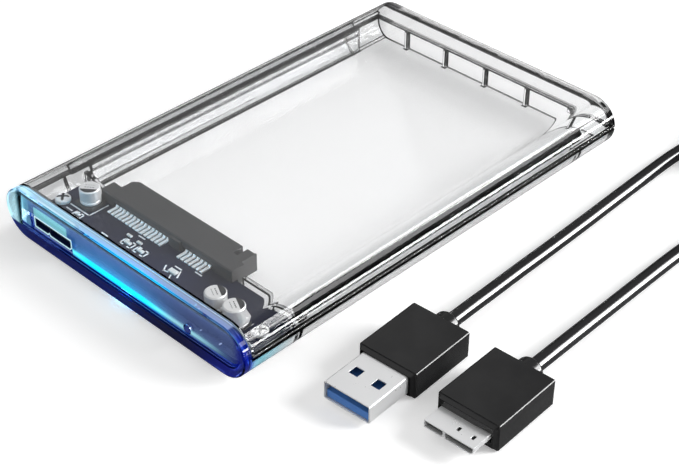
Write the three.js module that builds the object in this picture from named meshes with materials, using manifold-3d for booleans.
// Clear sliding-lid enclosure for a 2.5-inch SATA drive, with its USB-A to Micro-B cable.
// Millimetres. +X is to the right of the port end, +Y runs away from the port end, +Z is up.
// The origin is the centre of the case's underside.
import * as THREE from 'three';
import { mergeVertices } from 'three/addons/utils/BufferGeometryUtils.js';
import Module from 'manifold-3d';

const wasm = await Module();
wasm.setup();

// ---------------------------------------------------------------- driving dimensions
const GAP = 0.3; // between two plastic shells
const FIT = 0.1; // between small parts that sit on each other

const CASE_W = 80;
const CASE_L = 124;
const CASE_H = 13;
const SIDE_RX = 7; // how far the rounded side reaches in from the widest point
const FLOOR_T = 1.4;
const SIDE_T = 1.6;
const INNER_RX = 4; // rounded side of the cavity
const MID_Z = CASE_H / 2;
const FRONT_Y = -CASE_L / 2;
const REAR_Y = CASE_L / 2;
const REAR_T = 1.6;
const RING_D = 2.2; // depth of the full ring at the port end
const RECESS = 0.8; // front plate behind the ring's face
const PLATE_T = 1.2;
const SEAM_Z = 6.4; // top edge of the lower shell's sides

const DRIVE_HALF_W = 34.93;
const DRIVE_FRONT_Y = -40.9;
const DRIVE_BACK_Y = 59.4;

const BOARD_TOP = 3.6;
const BOARD_T = 1.2;
const BOARD_X = [-36.2, 35.6];
const BOARD_Y = [-59.6, -42.6];
const SCREWS = { board_screw_left: [-34, -50.6], board_screw_right: [33.2, -51.2] };

const PITCH = 1.27;
const POWER_X = -22.7; // first power contact
const POWER_COUNT = 15;
const SIGNAL_COUNT = 7;
const GROUP_GAP = 6.35; // last power contact to first signal contact

const PORT_X = [-31.3, -17.7];
const PORT_Z = [BOARD_TOP + FIT, 6.7];

const CAN_R = 2.5;
const CAN_TOP = BOARD_TOP + 4.9;
const CANS = [[-28.3, -46.9], [20.7, -52.3], [26.7, -52.5]];

const CORD_D = 3.5;
// Each plug is drawn along +Y round X = 0, then turned a little and set down at its place.
const PLUG_A = { x: 58.6, y: -32, turn: 0.056 };
const PLUG_B = { x: 80.1, y: -32, turn: 0.045 };
const A_FRONT = -9.2; // front of the USB-A plug's housing, from its place
const B_FRONT = -9;
const PLUG_Z = 3.4; // height of both plugs' middle

// ---------------------------------------------------------------- materials
function material(color, roughness, metalness, opacity = 1) {
  return new THREE.MeshStandardMaterial({
    color, roughness, metalness, opacity, transparent: opacity < 1,
  });
}
const CLEAR = material(0xe6eef2, 0.05, 0, 0.35);
const BOARD_BLUE = material(0x10162e, 0.45, 0);
const BLACK_PLASTIC = material(0x2b2b2d, 0.5, 0);
const GLOSS_BLACK = material(0x1c1c1e, 0.2, 0);
const CORD_BLACK = material(0x18181a, 0.3, 0);
const TIN = material(0xe4e6e8, 0.3, 1);
const STEEL = material(0xd6d8da, 0.25, 1);
const ALUMINIUM = material(0xdadcdf, 0.35, 1);
const USB_BLUE = material(0x1f5fb4, 0.4, 0);
const LED_BLUE = material(0x35d6ff, 0.2, 0);

// ---------------------------------------------------------------- geometry helpers
function toSolid(geometry) {
  const bare = geometry.clone();
  bare.deleteAttribute('normal');
  bare.deleteAttribute('uv');
  const merged = mergeVertices(bare, 1e-4);
  return new wasm.Manifold(new wasm.Mesh({
    numProp: 3,
    vertProperties: new Float32Array(merged.attributes.position.array),
    triVerts: new Uint32Array(merged.index.array),
  }));
}

function toGeometry(solid) {
  const { vertProperties, triVerts } = solid.getMesh();
  const geometry = new THREE.BufferGeometry();
  geometry.setAttribute('position', new THREE.BufferAttribute(new Float32Array(vertProperties), 3));
  geometry.setIndex(new THREE.BufferAttribute(new Uint32Array(triVerts), 1));
  geometry.computeVertexNormals();
  return geometry;
}

const join = (...pieces) => toGeometry(pieces.map(toSolid).reduce((sum, piece) => sum.add(piece)));
const cut = (base, ...tools) => toGeometry(
  tools.map(toSolid).reduce((rest, tool) => rest.subtract(tool), toSolid(base)),
);
const overlap = (a, b) => toGeometry(toSolid(a).intersect(toSolid(b)));

function box([x0, x1], [y0, y1], [z0, z1]) {
  const geometry = new THREE.BoxGeometry(x1 - x0, y1 - y0, z1 - z0);
  return geometry.translate((x0 + x1) / 2, (y0 + y1) / 2, (z0 + z1) / 2);
}

// A section drawn in X and Z, extruded along Y.
function alongY(section, [y0, y1], curveSegments = 24) {
  const depth = y1 - y0;
  const geometry = new THREE.ExtrudeGeometry(section, { depth, bevelEnabled: false, curveSegments });
  return geometry.rotateX(Math.PI / 2).translate(0, y1, 0);
}

// A section drawn in Y and Z, extruded along X.
function alongX(section, [x0, x1]) {
  const geometry = new THREE.ExtrudeGeometry(section, { depth: x1 - x0, bevelEnabled: false });
  const basis = new THREE.Matrix4().makeBasis(
    new THREE.Vector3(0, 1, 0), new THREE.Vector3(0, 0, 1), new THREE.Vector3(1, 0, 0),
  );
  return geometry.applyMatrix4(basis).translate(x0, 0, 0);
}

// A section drawn in X and Y, extruded along Z.
function alongZ(section, [z0, z1]) {
  const depth = z1 - z0;
  const geometry = new THREE.ExtrudeGeometry(section, { depth, bevelEnabled: false, curveSegments: 24 });
  return geometry.translate(0, 0, z0);
}

function cylinderZ(radius, [x, y], [z0, z1], segments = 24) {
  const geometry = new THREE.CylinderGeometry(radius, radius, z1 - z0, segments);
  return geometry.rotateX(Math.PI / 2).translate(x, y, (z0 + z1) / 2);
}

function cylinderY(radius, [x, z], [y0, y1], segments = 24) {
  const geometry = new THREE.CylinderGeometry(radius, radius, y1 - y0, segments);
  return geometry.translate(x, (y0 + y1) / 2, z);
}

const outline = (points) => new THREE.Shape(points.map(([a, b]) => new THREE.Vector2(a, b)));

// Flat top and bottom with rounded sides.
function stadium(halfFlat, rx, rz, z = MID_Z) {
  const shape = new THREE.Shape();
  shape.moveTo(-halfFlat, z - rz);
  shape.lineTo(halfFlat, z - rz);
  shape.absellipse(halfFlat, z, rx, rz, -Math.PI / 2, Math.PI / 2, false);
  shape.lineTo(-halfFlat, z + rz);
  shape.absellipse(-halfFlat, z, rx, rz, Math.PI / 2, 1.5 * Math.PI, false);
  return shape;
}

function roundedRect(width, height, radius, [cx, cz]) {
  const shape = new THREE.Shape();
  const [a, b] = [width / 2 - radius, height / 2 - radius];
  shape.absarc(cx + a, cz + b, radius, 0, Math.PI / 2);
  shape.absarc(cx - a, cz + b, radius, Math.PI / 2, Math.PI);
  shape.absarc(cx - a, cz - b, radius, Math.PI, 1.5 * Math.PI);
  shape.absarc(cx + a, cz - b, radius, 1.5 * Math.PI, 2 * Math.PI);
  return shape;
}

function turned(profile, segments = 32) {
  const points = profile.map(([r, z]) => new THREE.Vector2(r, z));
  return new THREE.LatheGeometry(points, segments).rotateX(Math.PI / 2);
}

const object = new THREE.Group();
function add(name, geometry, finish, [x, y, z] = [0, 0, 0]) {
  const mesh = new THREE.Mesh(geometry, finish);
  mesh.name = name;
  mesh.position.set(x, y, z);
  object.add(mesh);
}

// ---------------------------------------------------------------- case sections
const OUTER = stadium(CASE_W / 2 - SIDE_RX, SIDE_RX, MID_Z);
const INNER = stadium(CASE_W / 2 - SIDE_T - INNER_RX, INNER_RX, MID_Z - FLOOR_T);
// The recess in the ring's face starts higher than the cavity, above a thick lower rim.
const MOUTH_Z = [3.2, CASE_H - FLOOR_T];
const MOUTH = stadium(CASE_W / 2 - SIDE_T - INNER_RX, INNER_RX, (MOUTH_Z[1] - MOUTH_Z[0]) / 2,
  (MOUTH_Z[0] + MOUTH_Z[1]) / 2);
const SHELL_FRONT = FRONT_Y + RING_D;
const PLATE_Y = [FRONT_Y + RECESS, FRONT_Y + RECESS + PLATE_T];
const REAR_WALL_Y = REAR_Y - REAR_T;
const RAIL_X = DRIVE_HALF_W + 0.37;
const RAIL_Y = [DRIVE_FRONT_Y, 50];
const RAIL_TOP = 8.9;
const LENS = { x: 21.5, z: 4.6, r: 0.8 };

const mirrored = (make) => [-1, 1].map((side) => make((a, b) => (side < 0 ? [-b, -a] : [a, b])));

// Drive stops between the board and the bay. The left one ramps up to the side wall.
function driveStops() {
  const left = alongY(outline([[-37, 1], [-28.6, 1], [-28.6, 4.2], [-35.2, 6.2], [-37, 6.2]]),
    [-42.2, DRIVE_FRONT_Y]);
  const right = box([17.6, 26.8], [-42.2, DRIVE_FRONT_Y], [1, 4.8]);
  const corner = box([26.4, 36.4], [-43.2, DRIVE_FRONT_Y - 1], [1, 4.8]);
  return [left, right, corner];
}

// Five thin stops that keep the drive off the rear wall.
function rearStops() {
  const count = 5;
  const spacing = 13.7;
  return Array.from({ length: count }, (_, index) => {
    const x = (index - (count - 1) / 2) * spacing;
    const profile = outline([
      [DRIVE_BACK_Y, 1], [REAR_WALL_Y + 0.4, 1], [REAR_WALL_Y + 0.4, SEAM_Z - 0.2],
      [REAR_WALL_Y - 0.4, SEAM_Z - 0.2], [REAR_WALL_Y - 0.4, 7.2], [DRIVE_BACK_Y, 7.2],
    ]);
    return alongX(profile, [x - 0.5, x + 0.5]);
  });
}

// Guide rails beside the bay, each with a lip that the lid's hooks run under.
function guideRails() {
  return mirrored((span) => box(span(RAIL_X, RAIL_X + 0.8), RAIL_Y, [1.1, RAIL_TOP]))
    .concat(mirrored((span) => box(span(RAIL_X, RAIL_X + 1.6), RAIL_Y, [RAIL_TOP - 0.6, RAIL_TOP])));
}

// Shallow lines across the lower sides, where the end blocks of the mould meet the middle.
function mouldLines() {
  const skin = (y) => cut(
    box([-CASE_W, CASE_W], [y - 0.2, y + 0.2], [0.6, SEAM_Z + 1]),
    alongY(stadium(CASE_W / 2 - SIDE_RX, SIDE_RX - 0.35, MID_Z - 0.35), [y - 1, y + 1]),
  );
  return [skin(-46), skin(48)];
}

function baseShell() {
  const tray = overlap(
    cut(alongY(OUTER, [SHELL_FRONT - 0.2, REAR_Y]), alongY(INNER, [SHELL_FRONT - 1, REAR_WALL_Y])),
    box([-CASE_W, CASE_W], [FRONT_Y - 5, REAR_Y + 5], [-1, SEAM_Z]),
  );
  const ring = cut(
    alongY(OUTER, [FRONT_Y, SHELL_FRONT]),
    alongY(MOUTH, [FRONT_Y - 1, PLATE_Y[0]]),
    alongY(INNER, [PLATE_Y[1], SHELL_FRONT + 1]),
  );
  const bosses = Object.values(SCREWS).map((at) => cylinderZ(2.1, at, [1, BOARD_TOP - BOARD_T - FIT]));
  const body = join(tray, ring, ...bosses, ...driveStops(), ...rearStops(), ...guideRails());
  const screwHoles = Object.values(SCREWS).map((at) => cylinderZ(0.95, at, [FLOOR_T, 4], 16));
  const portHole = box([PORT_X[0] - 0.5, PORT_X[1] + 0.5], [FRONT_Y - 1, SHELL_FRONT], [MOUTH_Z[0] + 0.1, 7.2]);
  const lensHole = cylinderY(LENS.r + FIT, [LENS.x, LENS.z], [FRONT_Y, SHELL_FRONT]);
  return cut(body, portHole, lensHole, ...screwHoles, ...mouldLines());
}

function topCover() {
  const y = [SHELL_FRONT + GAP, REAR_Y];
  const lid = overlap(
    cut(alongY(OUTER, y), alongY(INNER, [y[0] - 1, REAR_WALL_Y])),
    box([-CASE_W, CASE_W], [FRONT_Y, REAR_Y + 5], [SEAM_Z + GAP, CASE_H + 1]),
  );
  const hookY = [-45.8, 49.8];
  const webs = mirrored((span) => box(span(37.2, 37.9), hookY, [7.1, 10.4]));
  const lips = mirrored((span) => box(span(36.5, 37.9), hookY, [7.1, 7.8]));
  return join(lid, ...webs, ...lips);
}

add('base_shell', baseShell(), CLEAR);
add('top_cover', topCover(), CLEAR);

// ---------------------------------------------------------------- bridge board
function bridgeBoard() {
  const [x0, x1] = BOARD_X;
  const [y0, y1] = BOARD_Y;
  const edge = outline([
    [x0 + 1, y0], [x1 - 1, y0], [x1, y0 + 1], [x1, y1 - 2.2], [x1 - 1.2, y1 - 1], [26.2, y1 - 1],
    [25.2, y1], [x0 + 1, y1], [x0, y1 - 1], [x0, y0 + 1],
  ]);
  const holes = Object.values(SCREWS).map((at) => cylinderZ(1.1, at, [0, CASE_H], 20));
  return cut(alongZ(edge, [BOARD_TOP - BOARD_T, BOARD_TOP]), ...holes);
}
add('bridge_board', bridgeBoard(), BOARD_BLUE);

const contactXs = [
  ...Array.from({ length: POWER_COUNT }, (_, i) => POWER_X + i * PITCH),
  ...Array.from({ length: SIGNAL_COUNT }, (_, i) => (
    POWER_X + (POWER_COUNT - 1 + i) * PITCH + GROUP_GAP)),
];
const POWER_SPAN = [POWER_X - 1, contactXs[POWER_COUNT - 1] + 1];
const SIGNAL_SPAN = [contactXs[POWER_COUNT] - 1, contactXs.at(-1) + 1];
const HOUSING_X = [-27.9, 16.6];
const HOUSING_TOP = 6.8;
const HOUSING_Y = { front: -44, shoulder: -40.2, mouth: -36 };

function sataHousing() {
  const { front, shoulder, mouth } = HOUSING_Y;
  const bar = alongX(outline([
    [front, BOARD_TOP + FIT], [BOARD_Y[1] + GAP, BOARD_TOP + FIT], [BOARD_Y[1] + GAP, 2],
    [shoulder, 2], [shoulder, HOUSING_TOP], [front + 0.3, HOUSING_TOP], [front, HOUSING_TOP - 0.3],
  ]), HOUSING_X);
  const nose = alongZ(outline([
    [-25, shoulder - 1], [15.6, shoulder - 1], [15.6, mouth + 0.4], [15.2, mouth],
    [-23.6, mouth], [-25, mouth - 1.2],
  ]), [2, HOUSING_TOP]);
  const keyTab = box([-3.6, 0.1], [front - 0.7, front + 1], [BOARD_TOP + FIT, HOUSING_TOP - 0.5]);
  const mouths = [POWER_SPAN, SIGNAL_SPAN].map((span) => box(span, [mouth - 4.4, mouth + 1], [3.8, 6]));
  const slits = [POWER_SPAN, SIGNAL_SPAN].map((span) => box(span, [front + 1, mouth - 4], [4.3, 4.9]));
  const tailGaps = [POWER_SPAN, SIGNAL_SPAN].map((span) => box(span, [front - 1, front + 1.2], [3, 4.9]));
  const guideSlot = box([11.6, 13], [mouth - 3, mouth + 1], [HOUSING_TOP - 1.6, HOUSING_TOP + 1]);
  return cut(join(bar, nose, keyTab), ...mouths, ...slits, ...tailGaps, guideSlot);
}
add('sata_housing', sataHousing(), BLACK_PLASTIC);

// A contact's tail lies on the board, steps up inside the housing and ends as a blade in its mouth.
function sataContact(x) {
  const width = 0.8;
  const [pad, blade] = [BOARD_TOP + FIT, 4.45];
  const thick = 0.3;
  return alongX(outline([
    [-46.4, pad], [-43.8, pad], [-43.3, blade], [-37, blade], [-37, blade + thick],
    [-43.5, blade + thick], [-44, pad + thick], [-46.4, pad + thick],
  ]), [x - width / 2, x + width / 2]);
}
contactXs.forEach((x, index) => {
  add(`sata_contact_${String(index + 1).padStart(2, '0')}`, sataContact(x), TIN);
});

// ---------------------------------------------------------------- Micro-B port
function portShell() {
  const [x0, x1] = PORT_X;
  const [z0, z1] = PORT_Z;
  const wall = 0.3;
  const section = outline([
    [x0, z0], [x0 + 4.9, z0], [x0 + 5.3, z0 + 0.5], [x0 + 5.7, z0], [x1 - 0.8, z0], [x1, z0 + 0.8],
    [x1, z1], [x0, z1],
  ]);
  section.holes.push(outline([
    [x0 + wall, z0 + wall], [x0 + 4.8, z0 + wall], [x0 + 5.3, z0 + 0.9], [x0 + 5.8, z0 + wall],
    [x1 - 0.9, z0 + wall], [x1 - wall, z0 + 0.9], [x1 - wall, z1 - wall], [x0 + wall, z1 - wall],
  ]));
  return alongY(section, [-60.8, -55]);
}

function portInsert() {
  const [x0, x1] = PORT_X;
  const [z0, z1] = PORT_Z;
  const block = box([x0 + 0.4, x1 - 1.2], [-56.8, -55.2], [z0 + 1, z1 - 0.4]);
  const smallTongue = box([x0 + 0.9, x0 + 4.3], [-60, -56], [z0 + 1.2, z0 + 1.8]);
  const largeTongue = box([x0 + 6.5, x1 - 1.6], [-60, -56], [z0 + 1.2, z0 + 1.8]);
  const divider = box([x0 + 5.1, x0 + 5.5], [-60.4, -56], [z0 + 1, z1 - 0.4]);
  return join(block, smallTongue, largeTongue, divider);
}
add('usb_port_shell', portShell(), STEEL);
add('usb_port_insert', portInsert(), BLACK_PLASTIC);

// ---------------------------------------------------------------- board parts
const BASE_T = 0.8;
function capacitorCan() {
  const foot = BOARD_TOP + FIT + BASE_T + FIT;
  return turned([
    [0, foot], [CAN_R - 0.2, foot], [CAN_R, foot + 0.2], [CAN_R, foot + 0.6], [CAN_R - 0.25, foot + 0.85],
    [CAN_R, foot + 1.1], [CAN_R, CAN_TOP - 0.3], [CAN_R - 0.3, CAN_TOP], [0, CAN_TOP],
  ]);
}
function capacitorBase() {
  const a = 2.7;
  const corner = 0.9;
  const section = outline([
    [-a, -a], [a - corner, -a], [a, -a + corner], [a, a - corner], [a - corner, a], [-a, a],
  ]);
  return alongZ(section, [BOARD_TOP + FIT, BOARD_TOP + FIT + BASE_T]);
}
CANS.forEach(([x, y], index) => {
  add(`capacitor_can_${index + 1}`, capacitorCan(), ALUMINIUM, [x, y, 0]);
  add(`capacitor_base_${index + 1}`, capacitorBase(), BLACK_PLASTIC, [x, y, 0]);
});

function boardScrew() {
  const under = BOARD_TOP + FIT;
  const [headR, headT, shankR] = [1.9, 1.3, 0.8];
  const blank = turned([
    [0, FLOOR_T + 0.2], [shankR, FLOOR_T + 0.2], [shankR, under], [headR, under],
    [headR, under + 0.7], [headR - 0.35, under + 1.1], [headR - 0.9, under + headT], [0, under + headT],
  ], 28);
  const depth = [under + headT - 0.7, under + headT + 1];
  const arms = [1, 3].map((eighth) => (
    box([-1.3, 1.3], [-0.26, 0.26], depth).rotateZ(eighth * Math.PI / 4)));
  return cut(blank, ...arms);
}
Object.entries(SCREWS).forEach(([name, [x, y]]) => add(name, boardScrew(), STEEL, [x, y, 0]));

const UNDERSIDE = BOARD_TOP - BOARD_T - FIT;
add('bridge_chip', box([-9, -3], [-55, -49], [UNDERSIDE - 0.7, UNDERSIDE]), BLACK_PLASTIC);
add('clock_crystal', box([2, 5.2], [-52, -49.5], [UNDERSIDE - 0.65, UNDERSIDE]), STEEL);
add('indicator_led', box([-1.6, 1.6], [-59.4, -58.2], [UNDERSIDE - 0.6, UNDERSIDE]), LED_BLUE);
add('led_lens', cylinderY(LENS.r, [LENS.x, LENS.z], [PLATE_Y[0] - 0.2, PLATE_Y[1] - 0.1], 20), CLEAR);

// ---------------------------------------------------------------- cable plugs
// A moulded housing: rounded long edges and a chamfered front, with a pocket for the metal shell.
function plugHousing([width, height], [y0, y1], pocket) {
  const chamfer = 0.9;
  const section = roundedRect(width - 2 * chamfer, height - 2 * chamfer, 0.1, [0, PLUG_Z]);
  const nose = new THREE.ExtrudeGeometry(section, {
    depth: 2, bevelThickness: chamfer, bevelSize: chamfer - 0.3, bevelSegments: 1, curveSegments: 4,
  });
  nose.rotateX(Math.PI / 2).translate(0, y0 + chamfer + 2, 0);
  const body = alongY(roundedRect(width, height, 0.5, [0, PLUG_Z]), [y0 + chamfer, y1], 4);
  return cut(join(body, nose), pocket);
}

function strainRelief(y) {
  const [r, length] = [3.1, 3.2];
  const profile = [[0, 0], [r, 0], [r, length - 0.9], [r - 0.35, length - 0.3], [r - 0.9, length],
    [0, length]];
  // The turned profile stands along +Z, and is laid down to point along +Y.
  return turned(profile, 24).rotateX(-Math.PI / 2).translate(0, y, PLUG_Z);
}

function addPlugPart(name, geometry, finish, place) {
  add(name, geometry.rotateZ(place.turn), finish, [place.x, place.y, 0]);
}

const A_SIZE = [15, 6.8];
const A_LENGTH = 18.3;
const A_SHELL = { width: 12, height: 4.5, wall: 0.3, exposed: 11.8, hidden: 2.4 };

function usbAShell() {
  const { width, height, wall, exposed, hidden } = A_SHELL;
  const section = roundedRect(width, height, 0.5, [0, PLUG_Z]);
  section.holes.push(roundedRect(width - 2 * wall, height - 2 * wall, 0.25, [0, PLUG_Z]));
  const tube = alongY(section, [A_FRONT - exposed, A_FRONT + hidden], 4);
  const tip = A_FRONT - exposed;
  const windows = [-2.9, 2.9].map((dx) => (
    box([dx - 1.15, dx + 1.15], [tip + 5.2, tip + 7.6], [-1, CASE_H])));
  return cut(tube, ...windows);
}

const bottomInside = PLUG_Z - A_SHELL.height / 2 + A_SHELL.wall;
const pocketA = box([-6.2, 6.2], [A_FRONT - 1, A_FRONT + 2.7], [PLUG_Z - 2.45, PLUG_Z + 2.45]);
const housingA = plugHousing(A_SIZE, [A_FRONT, A_FRONT + A_LENGTH], pocketA);
const insertA = box([-5.5, 5.5], [A_FRONT - 11.4, A_FRONT + 2.3], [bottomInside + FIT, bottomInside + 2]);
addPlugPart('usb_a_housing', housingA, GLOSS_BLACK, PLUG_A);
addPlugPart('usb_a_shell', usbAShell(), STEEL, PLUG_A);
addPlugPart('usb_a_insert', insertA, USB_BLUE, PLUG_A);
addPlugPart('usb_a_strain_relief', strainRelief(A_FRONT + A_LENGTH + FIT), GLOSS_BLACK, PLUG_A);

const B_SIZE = [15.3, 6.8];
const B_LENGTH = 19;
const B_SHELL = { width: 12.2, height: 1.9, exposed: 5.3, hidden: 2.2 };

// Two mouths side by side, five small contacts in the left one and the micro plug in the right.
function microBShell() {
  const { width, height, exposed, hidden } = B_SHELL;
  const [x0, x1] = [-width / 2, width / 2];
  const [z0, z1] = [PLUG_Z - height / 2, PLUG_Z + height / 2];
  const wall = 0.25;
  const section = outline([
    [x0, z0], [x0 + 4.5, z0], [x0 + 4.9, z0 + 0.7], [x0 + 5.3, z0], [x1 - 0.7, z0], [x1, z0 + 0.7],
    [x1, z1], [x0, z1],
  ]);
  section.holes.push(outline([
    [x0 + wall, z0 + wall], [x0 + 4.3, z0 + wall], [x0 + 4.6, z0 + 0.9], [x0 + 4.6, z1 - wall],
    [x0 + wall, z1 - wall],
  ]));
  section.holes.push(outline([
    [x0 + 5.2, z0 + 0.9], [x0 + 5.5, z0 + wall], [x1 - 0.8, z0 + wall], [x1 - wall, z0 + 0.8],
    [x1 - wall, z1 - wall], [x0 + 5.2, z1 - wall],
  ]));
  const tube = alongY(section, [B_FRONT - exposed, B_FRONT + hidden]);
  const latches = [0.6, 4.2].map((x) => (
    box([x - 0.35, x + 0.35], [B_FRONT - 3.4, B_FRONT - 2.2], [z1 - wall - 0.2, z1 + 1])));
  return cut(tube, ...latches);
}

function microBInsert() {
  const z = [PLUG_Z - 0.1, PLUG_Z + 0.35];
  const y = [B_FRONT - 4.9, B_FRONT + 2.5];
  const block = box([-5.6, 5.4], [B_FRONT + 2.4, B_FRONT + 3], z);
  const small = box([-5.5, -1.8], y, z);
  const large = box([-0.5, 5.3], y, z);
  return join(block, small, large);
}

const pocketB = box([-6.4, 6.4], [B_FRONT - 1, B_FRONT + 3.2], [PLUG_Z - 1.15, PLUG_Z + 1.15]);
const housingB = plugHousing(B_SIZE, [B_FRONT, B_FRONT + B_LENGTH], pocketB);
addPlugPart('micro_b_housing', housingB, GLOSS_BLACK, PLUG_B);
addPlugPart('micro_b_shell', microBShell(), STEEL, PLUG_B);
addPlugPart('micro_b_insert', microBInsert(), BLACK_PLASTIC, PLUG_B);
addPlugPart('micro_b_strain_relief', strainRelief(B_FRONT + B_LENGTH + FIT), GLOSS_BLACK, PLUG_B);

// ---------------------------------------------------------------- cord
// Each run goes from its plug's collar to the coil. The middle of the cord is wound in the coil.
const FLOOR_CORD = CORD_D / 2 + 0.05;
const RUN_A = [
  [57.9, -19.2, 3.4], [57.5, -13, 3.2], [57.1, -6.7, 2.9], [56.3, 5.3, 2.4], [55.7, 17.5, 2.05],
  [55.1, 30, 1.85], [54.5, 43, FLOOR_CORD], [54, 56, FLOOR_CORD], [53.7, 66, FLOOR_CORD],
  [54, 74, FLOOR_CORD],
];
const RUN_B = [
  [79.5, -18.2, 3.4], [79.25, -13, 3.2], [78.9, -6.7, 2.9], [78.3, 5.1, 2.4], [77.8, 17.4, 2.05],
  [77.4, 30, 1.85], [77.4, 38, FLOOR_CORD], [77.9, 46, FLOOR_CORD], [79.9, 53.5, FLOOR_CORD],
  [83.4, 60.5, 2.2],
];
const COIL = { x: 74.4, y: 86.4, inner: 13.8, outer: 21.6, top: 8.4, tieAngle: 1.1 };

function cordTube(points) {
  const path = new THREE.CatmullRomCurve3(points.map((point) => new THREE.Vector3(...point)));
  const section = new THREE.Shape().absarc(0, 0, CORD_D / 2, 0, 2 * Math.PI);
  const steps = Math.round(path.getLength() / (2.5 * CORD_D));
  return new THREE.ExtrudeGeometry(section, { extrudePath: path, steps, curveSegments: 8 });
}

// The coil's outer shape, open where the tie passes round it.
function coilRing() {
  const half = Math.asin(2.8 / COIL.inner);
  const [from, to] = [COIL.tieAngle + half, COIL.tieAngle - half + 2 * Math.PI];
  const ring = new THREE.Shape();
  ring.absarc(0, 0, COIL.outer, from, to, false);
  ring.absarc(0, 0, COIL.inner, to, from, true);
  return alongZ(ring, [0.05, COIL.top]).translate(COIL.x, COIL.y, 0);
}

function cableTie() {
  const width = 4.6;
  const band = 0.6;
  const span = [COIL.inner, COIL.outer];
  const outside = box([span[0] - band, span[1] + band], [-width / 2, width / 2], [0, COIL.top]);
  const inside = box(span, [-width, width], [band, COIL.top - band]);
  return cut(outside, inside).rotateZ(COIL.tieAngle).translate(COIL.x, COIL.y, 0);
}

add('cable_run_a', cordTube(RUN_A), CORD_BLACK);
add('cable_run_b', cordTube(RUN_B), CORD_BLACK);
add('cable_coil', coilRing(), CORD_BLACK);
add('cable_tie', cableTie(), BLACK_PLASTIC);

export default object;
